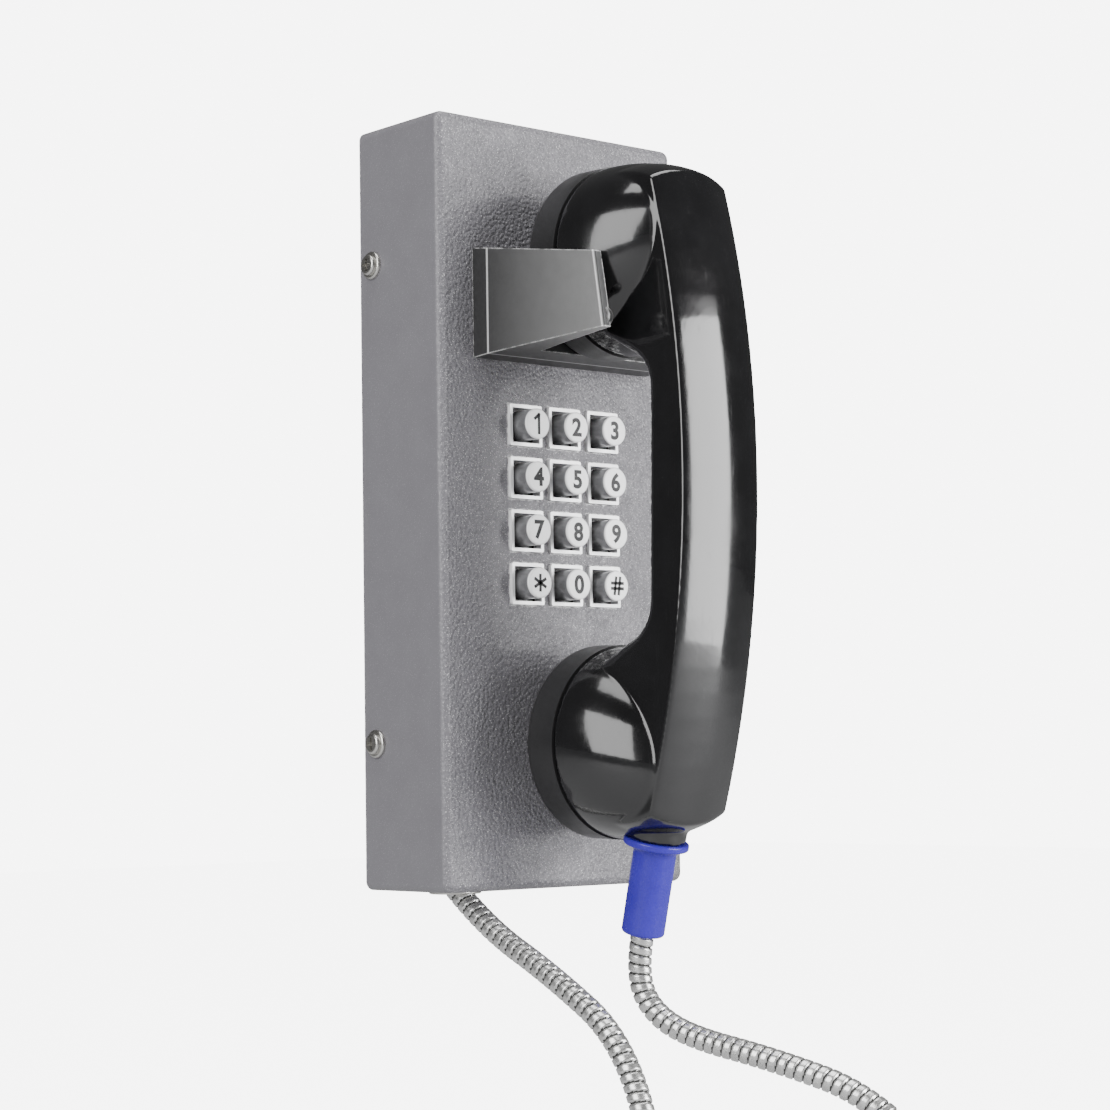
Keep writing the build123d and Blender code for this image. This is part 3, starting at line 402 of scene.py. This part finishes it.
def gloss_black():
    """Polished black moulding with a trace of flow ripple, smears and hairline scratches."""
    f = Finish("handset_gloss_black", Specular_IOR_Level=0.62, Coat_Weight=0.35, Coat_Roughness=0.05)
    hairs = f.noise(900.0, distortion=0.4, place=f.stretched((1.0, 1.0, 0.06)))
    smear = f.noise(45.0, 4.0, 0.6)
    scratched = f.span(hairs, 0.62, 0.75, 0.0, 0.10)
    f.feed("Roughness", f.math("ADD", f.span(smear, 0.35, 0.75, 0.10, 0.19), scratched))
    dull = f.span(smear, 0.4, 0.8, 0.0, 0.5)
    f.feed("Base Color", f.mix(dull, (0.005, 0.005, 0.0055), (0.012, 0.012, 0.013)))
    f.bump(f.noise(60.0, 1.0), 0.06 * MM)
    f.bump(hairs, 0.004 * MM)
    return f.material


def satin_black():
    """Cap moulding, less polished than the grip, with fine spark texture."""
    f = Finish("cap_satin_black")
    spark = f.noise(3800.0)
    f.feed("Roughness", f.span(f.noise(150.0, 3.0), 0.3, 0.7, 0.29, 0.40))
    f.feed("Base Color", f.mix(f.span(spark, 0.3, 0.7), (0.010, 0.010, 0.0105), (0.019, 0.019, 0.020)))
    f.bump(spark, 0.015 * MM)
    return f.material


def matt(name, color, roughness):
    """Moulded or rubber surface with a fine grain and an uneven tone."""
    f = Finish(name)
    cloud = f.noise(170.0, 4.0)
    paler = tuple(c * 1.3 + 0.004 for c in color)
    f.feed("Base Color", f.mix(f.span(cloud, 0.3, 0.7), color, paler))
    f.feed("Roughness", f.span(f.noise(500.0, 3.0), 0.3, 0.7, roughness - 0.07, roughness + 0.06))
    f.bump(f.noise(2600.0, 3.0, 0.6), 0.025 * MM)
    return f.material


def boot_blue():
    """Glossy blue flexible plastic, a little uneven in tone and faintly ribbed by its mould."""
    f = Finish("boot_blue", Subsurface_Weight=0.12, Subsurface_Scale=4.0 * MM,
               Subsurface_Radius=(0.3, 0.3, 1.0), Coat_Weight=0.08, Coat_Roughness=0.12,
               Specular_IOR_Level=0.3)
    cloud = f.noise(90.0)
    f.feed("Base Color", f.mix(f.span(cloud, 0.3, 0.7), (0.030, 0.017, 0.31), (0.038, 0.023, 0.36)))
    f.feed("Roughness", f.span(f.noise(420.0, 3.0), 0.3, 0.7, 0.20, 0.34))
    f.bump(f.noise(300.0, place=f.stretched((1.0, 1.0, 0.2))), 0.05 * MM)
    return f.material


def key_plate():
    """Zinc key, plated: its polished face painted white as a highlight, its barrel painted darker as shade
    down in its collar.
    """
    f = Finish("key_plate_painted_light", Coat_Weight=0.4, Coat_Roughness=0.2)
    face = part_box("key_5")[0][1]
    barrel = f.span(f.axis("Y"), face + 0.3 * MM, face + 0.9 * MM)
    stain = f.span(f.noise(420.0, 3.0), 0.4, 0.75)
    # painted highlight: the face white; painted shade: the barrel dark grey
    painted_highlight_white = f.mix(stain, (0.97, 0.97, 0.975), (0.92, 0.92, 0.925))
    f.feed("Base Color", f.mix(barrel, painted_highlight_white, (0.26, 0.26, 0.27)))
    f.feed("Metallic", f.math("MULTIPLY", barrel, 0.7))
    spun = f.noise(3000.0)
    f.feed("Roughness", f.span(spun, 0.3, 0.7, 0.27, 0.38))
    f.bump(spun, 0.006 * MM)
    return f.material


def armour_steel():
    """Stainless strip, bright with a little stain and a fine grain."""
    f = Finish("armour_stainless", Metallic=0.85)
    stain = f.span(f.noise(260.0, 4.0), 0.35, 0.7)
    f.feed("Base Color", f.mix(stain, (0.70, 0.70, 0.69), (0.58, 0.58, 0.57)))
    f.feed("Roughness", f.span(f.noise(1300.0, 3.0, 0.6), 0.3, 0.7, 0.20, 0.34))
    f.bump(f.noise(5200.0), 0.008 * MM)
    return f.material


def armour_slot():
    """Painted shade for the slot between the turns."""
    return matt("armour_slot_painted_shade", (0.014, 0.014, 0.013), 0.55)


def circuit_board():
    """Green solder mask with faint copper tracks under it."""
    f = Finish("circuit_board", Roughness=0.3, Coat_Weight=0.5, Coat_Roughness=0.15)
    dark_green, pale_green, track_green = (0.015, 0.11, 0.04), (0.025, 0.15, 0.055), (0.05, 0.24, 0.08)
    tracks = f.node("ShaderNodeTexBrick", {
        "Vector": f.place, "Scale": 260.0, "Mortar Size": 0.05}).outputs["Fac"]
    shade = f.mix(f.span(f.noise(180.0, 3.0), 0.3, 0.7), dark_green, pale_green)
    f.feed("Base Color", f.mix(f.math("MULTIPLY", tracks, 0.6), shade, track_green))
    f.bump(tracks, 0.03 * MM)
    return f.material


FINISHES = {
    "housing_paint": hammertone(),
    "zinc_plate": brushed("zinc_plate", (0.58, 0.59, 0.58), 0.38, "Z", 1500.0, spread=0.12),
    "black_rubber": matt("black_rubber", (0.012, 0.012, 0.012), 0.62),
    "screw_steel": brushed("screw_steel", (0.62, 0.61, 0.58), 0.27, "Y"),
    "spring_steel": brushed("spring_steel", (0.48, 0.48, 0.47), 0.30, "Z"),
    "cradle_metal": cradle_metal(),
    "lever_metal": brushed("lever_metal", (0.50, 0.50, 0.49), 0.32, "Y"),
    "keypad_chrome": brushed("keypad_bright_frame", (0.95, 0.95, 0.955), 0.30, "X", metallic=0.25,
                             spread=0.06),
    "key_chrome": key_plate(),
    "mat_silicone": matt("mat_silicone", (0.03, 0.03, 0.032), 0.60),
    "circuit_board": circuit_board(),
    "dark_plastic": matt("dark_plastic", (0.016, 0.016, 0.018), 0.45),
    "terminal_green": matt("terminal_green", (0.03, 0.20, 0.08), 0.42),
    "cable_grey": matt("cable_grey", (0.20, 0.20, 0.205), 0.45),
    "armour_steel": armour_steel(),
    "handset_black": gloss_black(),
    "cap_black": satin_black(),
    "boot_blue": boot_blue(),
}


def dress_cad_nodes():
    """Every CAD node gets the finish of its material slot."""
    for part in frame["record"]["subparts"]:
        node = NODES[part["node"]]
        node.data.materials.clear()
        node.data.materials.append(FINISHES[part["material_slot"]])


dress_cad_nodes()


# ---------------------------------------------------------------- moulded handset
GRIP_VOXEL = 0.55 * MM
SMOOTH_PASSES, SMOOTH_SHARE = 14, 0.5


def moulded(node, name):
    """The node's own shape with its edges and creases softened, as a moulding has them."""
    source = NODES[node]
    copy = bpy.data.objects.new(name, source.data.copy())
    bpy.context.scene.collection.objects.link(copy)
    remesh = copy.modifiers.new("remesh", "REMESH")
    remesh.mode, remesh.voxel_size, remesh.use_smooth_shade = "VOXEL", GRIP_VOXEL, True
    smooth = copy.modifiers.new("smooth", "SMOOTH")
    smooth.factor, smooth.iterations = SMOOTH_SHARE, SMOOTH_PASSES
    bpy.context.view_layer.update()
    mesh = bpy.data.meshes.new_from_object(copy.evaluated_get(bpy.context.evaluated_depsgraph_get()))
    copy.modifiers.clear()
    copy.data = mesh
    for face in mesh.polygons:
        face.use_smooth = True
    return copy


def handset_grip():
    """The grip as one smooth black moulding."""
    grip = moulded("handset_shell", "handset_grip")
    grip.data.materials.clear()
    grip.data.materials.append(FINISHES["handset_black"])
    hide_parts("handset_shell")
    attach(grip, "handset")


handset_grip()


# ---------------------------------------------------------------- key numerals
NUMERAL_TALL = 5.9 * MM
NUMERAL_STROKE = 1.0 * MM
NUMERAL_PROUD, NUMERAL_SUNK = 0.06 * MM, 0.10 * MM
FONT_TALL = 0.729                # height of the built-in font's figures at size 1
FIGURE_BOLD = 0.27 * MM          # added on each side of the font's thin strokes
FIGURE_SMOOTH = 6                # points on each curved stretch of a figure


def strokes(lines, width):
    """Flat bars with square ends between pairs of points, as one outline list."""
    bars = []
    for (ax, az), (bx, bz) in lines:
        way = Vector((bx - ax, bz - az)).normalized() * width / 2
        off = Vector((-way.y, way.x))
        bars.append([Vector((ax, az)) - way + off, Vector((ax, az)) - way - off,
                     Vector((bx, bz)) + way - off, Vector((bx, bz)) + way + off])
    return bars


def one_lines():
    """An upright with a short flag at its top."""
    tall, right = NUMERAL_TALL * 0.5, NUMERAL_TALL * 0.06
    flag_end = (-NUMERAL_TALL * 0.20, tall * 0.58)
    return [((right, -tall), (right, tall)), ((right, tall), flag_end)]


def star_lines():
    """Three bars through one middle."""
    arm = NUMERAL_TALL * 0.40
    spokes = [(math.cos(a), math.sin(a)) for a in (math.radians(d) for d in (90, 30, 150))]
    return [((-x * arm, -z * arm), (x * arm, z * arm)) for x, z in spokes]


def hash_lines():
    """Two leaning uprights and two level bars."""
    tall, wide, lean = NUMERAL_TALL * 0.44, NUMERAL_TALL * 0.40, NUMERAL_TALL * 0.06
    gap = NUMERAL_TALL * 0.15
    uprights = [((s * gap - lean, -tall), (s * gap + lean, tall)) for s in (-1, 1)]
    return uprights + [((-wide, s * gap), (wide, s * gap)) for s in (-1, 1)]


def plate_from_bars(name, bars, face_y, x, z):
    """Thin plates standing on a key's face, one for each bar."""
    verts, faces = [], []
    for bar in bars:
        base = len(verts)
        for depth in (face_y - NUMERAL_PROUD, face_y + NUMERAL_SUNK):
            verts += [(x + p.x, depth, z + p.y) for p in bar]
        faces += [tuple(base + i for i in (0, 1, 2, 3)), tuple(base + i for i in (7, 6, 5, 4))]
        faces += [(base + i, base + (i + 1) % 4, base + 4 + (i + 1) % 4, base + 4 + i) for i in range(4)]
    return add_mesh(name, verts, faces, smooth=False)


def figure(name, text, face_y, x, z):
    """A figure from the built-in font as a thin solid, centred on a key's face."""
    curve = bpy.data.curves.new(name, "FONT")
    curve.body = text
    curve.size = NUMERAL_TALL / FONT_TALL
    curve.align_x, curve.align_y = "CENTER", "CENTER"
    curve.extrude = (NUMERAL_PROUD + NUMERAL_SUNK) / 2
    curve.resolution_u = FIGURE_SMOOTH
    curve.offset = FIGURE_BOLD
    holder = bpy.data.objects.new(name, curve)
    bpy.context.scene.collection.objects.link(holder)
    bpy.context.view_layer.update()
    mesh = bpy.data.meshes.new_from_object(holder.evaluated_get(bpy.context.evaluated_depsgraph_get()))
    bpy.data.objects.remove(holder)
    bpy.data.curves.remove(curve)
    mesh.transform(Matrix.Rotation(math.radians(90), 4, "X"))
    low = [min(v.co[i] for v in mesh.vertices) for i in range(3)]
    high = [max(v.co[i] for v in mesh.vertices) for i in range(3)]
    middle = [(a + b) / 2 for a, b in zip(low, high)]
    y = face_y + (NUMERAL_SUNK - NUMERAL_PROUD) / 2
    mesh.transform(Matrix.Translation((x - middle[0], y - middle[1], z - middle[2])))
    obj = bpy.data.objects.new(name, mesh)
    bpy.context.scene.collection.objects.link(obj)
    return obj


DRAWN = {"key_1": one_lines, "key_star": star_lines, "key_hash": hash_lines}


def numerals():
    """A dark figure on the face of each key, which rides with it."""
    ink = matt("numeral_ink", (0.018, 0.018, 0.019), 0.6)
    for key in [n for n in NODES if n.startswith("key_") and n not in ("key_guide", "key_mat")]:
        low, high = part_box(key)
        x, z = (low[0] + high[0]) / 2, (low[2] + high[2]) / 2
        name = "numeral_" + key[4:]
        if key in DRAWN:
            obj = plate_from_bars(name, strokes(DRAWN[key](), NUMERAL_STROKE), low[1], x, z)
        else:
            obj = figure(name, key[4:], low[1], x, z)
        obj.data.materials.clear()
        obj.data.materials.append(ink)
        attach(obj, key)


numerals()


def dress_cord():
    """Bright armour, and painted shade on the faces of the slot."""
    CORD.data.materials.append(FINISHES["armour_steel"])
    CORD.data.materials.append(armour_slot())


dress_cord()


# ---------------------------------------------------------------- studio
WHITE = 7.0                      # brightness of the backdrop as the camera sees it
SOFT, IN_POLISH = 0.62, 0.10     # its brightness as soft light, and as reflections show it
FLOOR_LIT = 0.6                  # what the floor already sends back of the lights, left out of its glow
FLOOR_HALF, FLOOR_DROP = 6.0, 12.0 * MM
MIDDLE = Vector((0.0, -0.05, 0.0))   # what the softboxes face
SOFTBOXES = (                    # name; azimuth, elevation and distance; width and height; watts
    ("front_right", (-27, 3, 1.5), (0.92, 1.05), 38.0),
    ("left", (75, 18, 1.5), (1.0, 1.2), 24.0),
    ("top", (-10, 80, 1.3), (1.2, 0.9), 17.0))


def softbox(name, spot, size, power):
    """A rectangular light that faces the middle of the phone."""
    data = bpy.data.lights.new(name, "AREA")
    data.shape = "RECTANGLE"
    data.size, data.size_y = size
    data.energy = power
    light = bpy.data.objects.new(name, data)
    bpy.context.scene.collection.objects.link(light)
    turn = (MIDDLE - Vector(spot)).to_track_quat("-Z", "Y")
    light.matrix_world = Matrix.Translation(spot) @ turn.to_matrix().to_4x4()


def around(azimuth, elevation, distance):
    """A place round the phone; azimuth 0 is in front, positive towards its left side."""
    a, e = math.radians(azimuth), math.radians(elevation)
    return (-math.sin(a) * math.cos(e) * distance, -math.cos(a) * math.cos(e) * distance,
            math.sin(e) * distance)


def studio():
    """A white ground that lights the phone softly and barely shows in its polish, and three softboxes."""
    world = bpy.data.worlds.new("studio")
    bpy.context.scene.world = world
    world.use_nodes = True
    tree = world.node_tree
    back = tree.nodes["Background"]
    back.inputs["Color"].default_value = (1.0, 1.0, 1.0, 1.0)
    path = tree.nodes.new("ShaderNodeLightPath")
    other, level = (tree.nodes.new("ShaderNodeMix") for _ in range(2))
    tree.links.new(path.outputs["Is Glossy Ray"], other.inputs[SHARE_IN])
    tree.links.new(path.outputs["Is Camera Ray"], level.inputs[SHARE_IN])
    other.inputs[FLOAT_A].default_value, other.inputs[FLOAT_B].default_value = SOFT, IN_POLISH
    tree.links.new(other.outputs[0], level.inputs[FLOAT_A])
    level.inputs[FLOAT_B].default_value = WHITE
    tree.links.new(level.outputs[0], back.inputs["Strength"])
    for name, spot, size, power in SOFTBOXES:
        softbox(name, around(*spot), size, power)


def floor():
    """Pale paper under the phone, as white to the camera as the ground behind."""
    low = CAD_BOX[0][2] - FLOOR_DROP
    half = FLOOR_HALF
    obj = add_mesh("floor", [(-half, -half, low), (half, -half, low), (half, half, low), (-half, half, low)],
                   [(0, 1, 2, 3)], smooth=False)
    f = Finish("floor_paper", Roughness=0.7)
    f.feed("Base Color", f.mix(f.span(f.noise(3.0), 0.3, 0.7), (0.46, 0.46, 0.465), (0.44, 0.44, 0.445)))
    f.bump(f.noise(900.0), 0.02 * MM)
    f.set("Emission Color", (1.0, 1.0, 1.0, 1.0))
    seen = f.node("ShaderNodeLightPath").outputs["Is Camera Ray"]
    f.feed("Emission Strength", f.math("MULTIPLY", seen, WHITE - FLOOR_LIT))
    obj.data.materials.append(f.material)


studio()
floor()
